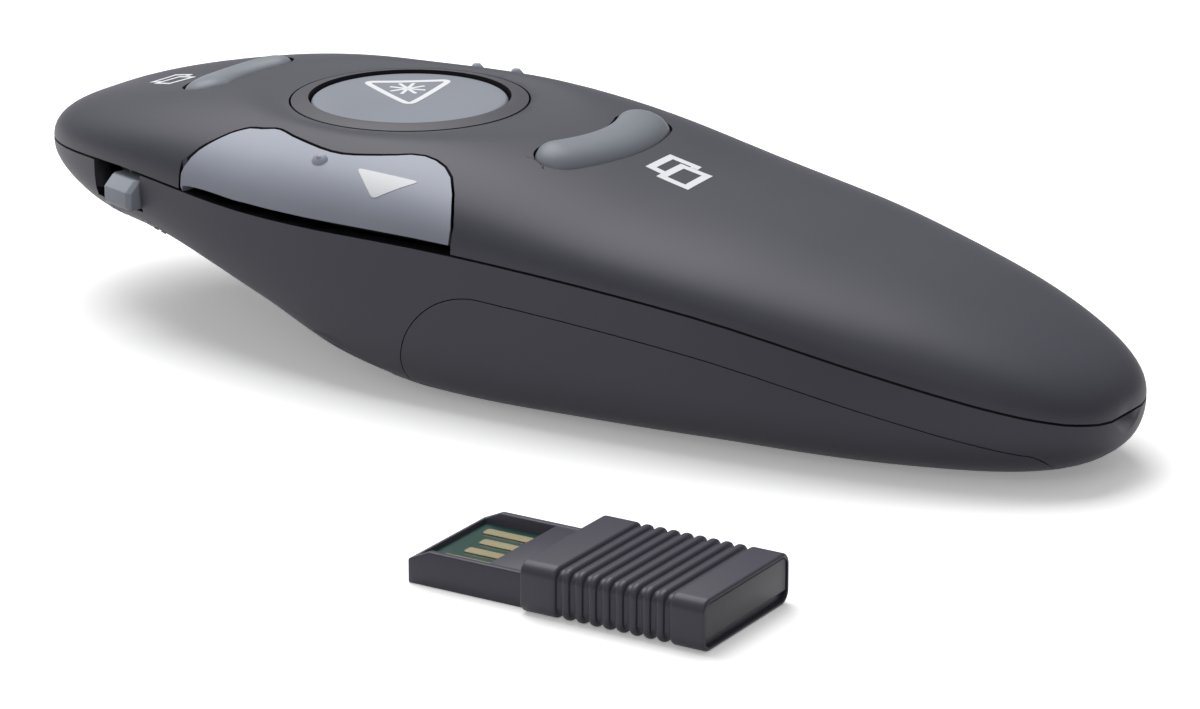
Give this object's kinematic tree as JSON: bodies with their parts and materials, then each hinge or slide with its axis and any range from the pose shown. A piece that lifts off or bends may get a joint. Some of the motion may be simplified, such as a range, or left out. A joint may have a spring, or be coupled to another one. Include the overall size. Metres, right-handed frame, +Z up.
{
  "type": "wireless presentation clicker",
  "caption": "Hand-held wireless presentation clicker with laser button, slide keys, power slide, battery door and its USB receiver.",
  "frame": {"origin": "on the flat underside of the housing, at the middle of its length and width", "axes": "+X from the laser nose to the tail, +Z up out of the keys, +Y to the side of the previous key"},
  "size_m": [0.1228, 0.0803, 0.0253],
  "materials": {
    "housing": "fine matt charcoal moulding",
    "bezel": "satin charcoal moulding",
    "button": "satin blue-grey moulding",
    "key": "satin blue-grey moulding",
    "arc_key": "satin blue-grey moulding",
    "knob": "light grey moulding",
    "inner_plastic": "plain black moulding",
    "receiver": "matt dark grey moulding",
    "end_plate": "matt grey moulding",
    "circuit_board": "green solder mask",
    "chip": "black epoxy",
    "ceramic": "tan ceramic",
    "switch_metal": "tinned sheet steel",
    "contact": "nickel-plated steel",
    "gold": "thin gold plating",
    "brass": "turned brass",
    "lens": "clear lens",
    "cell": "plain wrapped cell"
  },
  "bodies": {
    "housing": {"battery_tray": "inner_plastic", "bottom_cover": "housing", "button_bezel": "bezel", "capacitors": "ceramic", "controller_chip": "chip", "crystal": "switch_metal", "front_key_switch": "switch_metal", "housing_screws": "contact", "laser_barrel": "brass", "laser_button_switch": "switch_metal", "laser_diode": "switch_metal", "laser_holder": "inner_plastic", "laser_lens": "lens", "left_cell": "cell", "link_contact": "contact", "main_board": "circuit_board", "negative_contact": "contact", "next_key_switch": "switch_metal", "positive_contact": "contact", "power_switch_case": "switch_metal", "previous_key_switch": "switch_metal", "radio_chip": "chip", "rear_key_switch": "switch_metal", "right_cell": "cell", "top_cover": "housing"},
    "laser_button": {"laser_button": "button", "laser_button_stem": "inner_plastic"},
    "next_key": {"next_key": "key", "next_key_stem": "inner_plastic"},
    "previous_key": {"previous_key": "key", "previous_key_stem": "inner_plastic"},
    "front_key": {"front_key": "arc_key", "front_key_stem": "inner_plastic"},
    "rear_key": {"rear_key": "arc_key", "rear_key_stem": "inner_plastic"},
    "power_knob": {"power_knob": "knob", "power_switch_lever": "inner_plastic"},
    "battery_door": {"battery_door": "housing"},
    "receiver": {"receiver_board": "circuit_board", "receiver_chip": "chip", "receiver_contacts": "gold", "receiver_end_plate": "end_plate", "receiver_shell": "receiver"}
  },
  "joints": [
    {"name": "laser_button_press", "type": "slide", "parent": "housing", "child": "laser_button", "axis": [0, 0, -1], "range_m": [0, 0.0004], "stiffness_N_per_m": 2500},
    {"name": "next_key_press", "type": "slide", "parent": "housing", "child": "next_key", "axis": [0, 0, -1], "range_m": [0, 0.0004], "stiffness_N_per_m": 2000},
    {"name": "previous_key_press", "type": "slide", "parent": "housing", "child": "previous_key", "axis": [0, 0, -1], "range_m": [0, 0.0004], "stiffness_N_per_m": 2000},
    {"name": "front_key_press", "type": "slide", "parent": "housing", "child": "front_key", "axis": [0, 0, -1], "range_m": [0, 0.0004], "stiffness_N_per_m": 2000},
    {"name": "rear_key_press", "type": "slide", "parent": "housing", "child": "rear_key", "axis": [0, 0, -1], "range_m": [0, 0.0004], "stiffness_N_per_m": 2000},
    {"name": "power_knob_slide", "type": "slide", "parent": "housing", "child": "power_knob", "axis": [-0.9654, 0.2607, 0], "range_m": [0, 0.0032]},
    {"name": "battery_door_hinge", "type": "hinge", "parent": "housing", "child": "battery_door", "pos_m": [0.0572, 0, 0.001], "axis": [0, -1, 0], "range_deg": [0, 35]},
    {"name": "receiver_lift", "type": "slide", "parent": "housing", "child": "receiver", "axis": [0, 0, 1], "range_m": [0, 0.06]}
  ]
}
